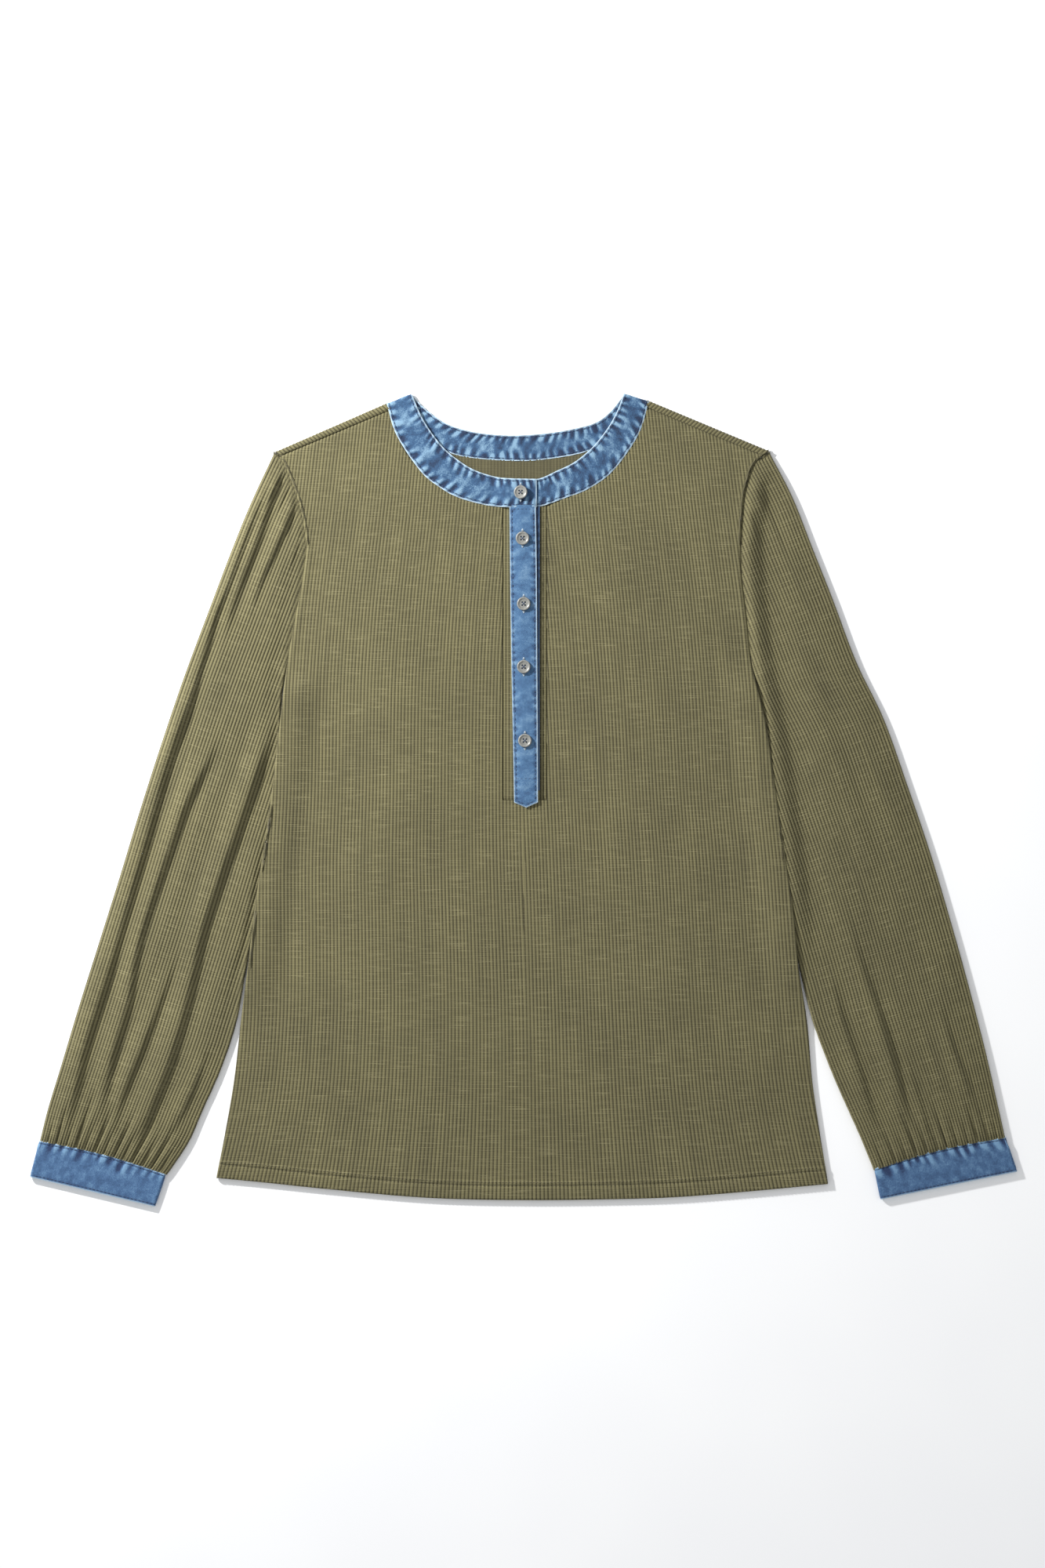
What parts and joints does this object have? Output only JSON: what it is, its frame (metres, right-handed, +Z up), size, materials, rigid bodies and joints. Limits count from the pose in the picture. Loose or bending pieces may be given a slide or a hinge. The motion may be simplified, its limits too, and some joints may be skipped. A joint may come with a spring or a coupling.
{
  "type": "henley shirt",
  "caption": "Long-sleeved henley shirt laid flat, face up: rib-knit body over bishop sleeves, with a denim neckband, pointed button placket and gathered cuffs.",
  "frame": {"origin": "on the surface that the shirt lies on, under the middle of its box", "axes": "+X from the left sleeve to the right one as seen from above, +Y from the hem to the neck, +Z up from the surface"},
  "size_m": [0.831, 0.6838, 0.0082],
  "materials": {
    "knit": "olive slub rib knit, matt, with pale uneven flecks",
    "denim": "washed blue denim, matt, faded along its edges and seams",
    "button": "grey four-hole resin, satin"
  },
  "bodies": {
    "root": {"front": "knit", "back": "knit", "sleeve_left": "knit", "sleeve_right": "knit", "placket_base": "knit", "neckband": "denim", "placket_under": "denim", "placket_top": "denim", "cuff_left": "denim", "cuff_right": "denim", "button_1": "button", "button_2": "button", "button_3": "button", "button_4": "button", "button_5": "button"}
  },
  "joints": []
}
